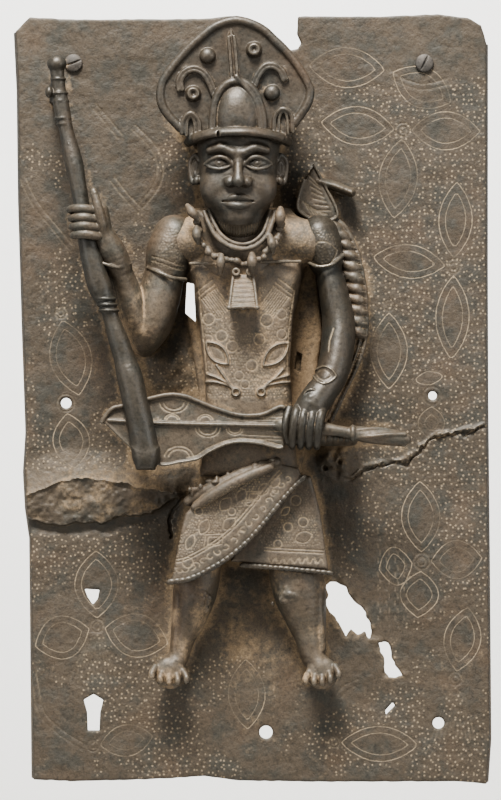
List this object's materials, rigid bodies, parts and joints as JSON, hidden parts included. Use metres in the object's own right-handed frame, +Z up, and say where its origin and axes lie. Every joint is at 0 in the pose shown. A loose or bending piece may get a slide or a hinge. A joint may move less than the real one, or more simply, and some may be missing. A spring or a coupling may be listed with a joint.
{
  "type": "relief plaque",
  "caption": "Cast brass relief plaque: a standing figure with a tall headdress, a staff and a broad sword on a thin flanged plate, with screws in its upper corners.",
  "frame": {"origin": "centre of the plate's flat back face, where it meets its post or board", "axes": "+Z up the plaque, +X to the viewer's right, -Y towards the viewer, so the relief stands towards -Y"},
  "size_m": [0.2889, 0.0823, 0.4625],
  "materials": {
    "patinated_brass": "cast, brown-grey patina with ochre dust in the recesses and darker rubbed high points",
    "dark_screw": "dull, darkened, turned"
  },
  "bodies": {
    "root": {"plaque": "patinated_brass", "hanging_screw_left": "dark_screw", "hanging_screw_right": "dark_screw"}
  },
  "joints": []
}
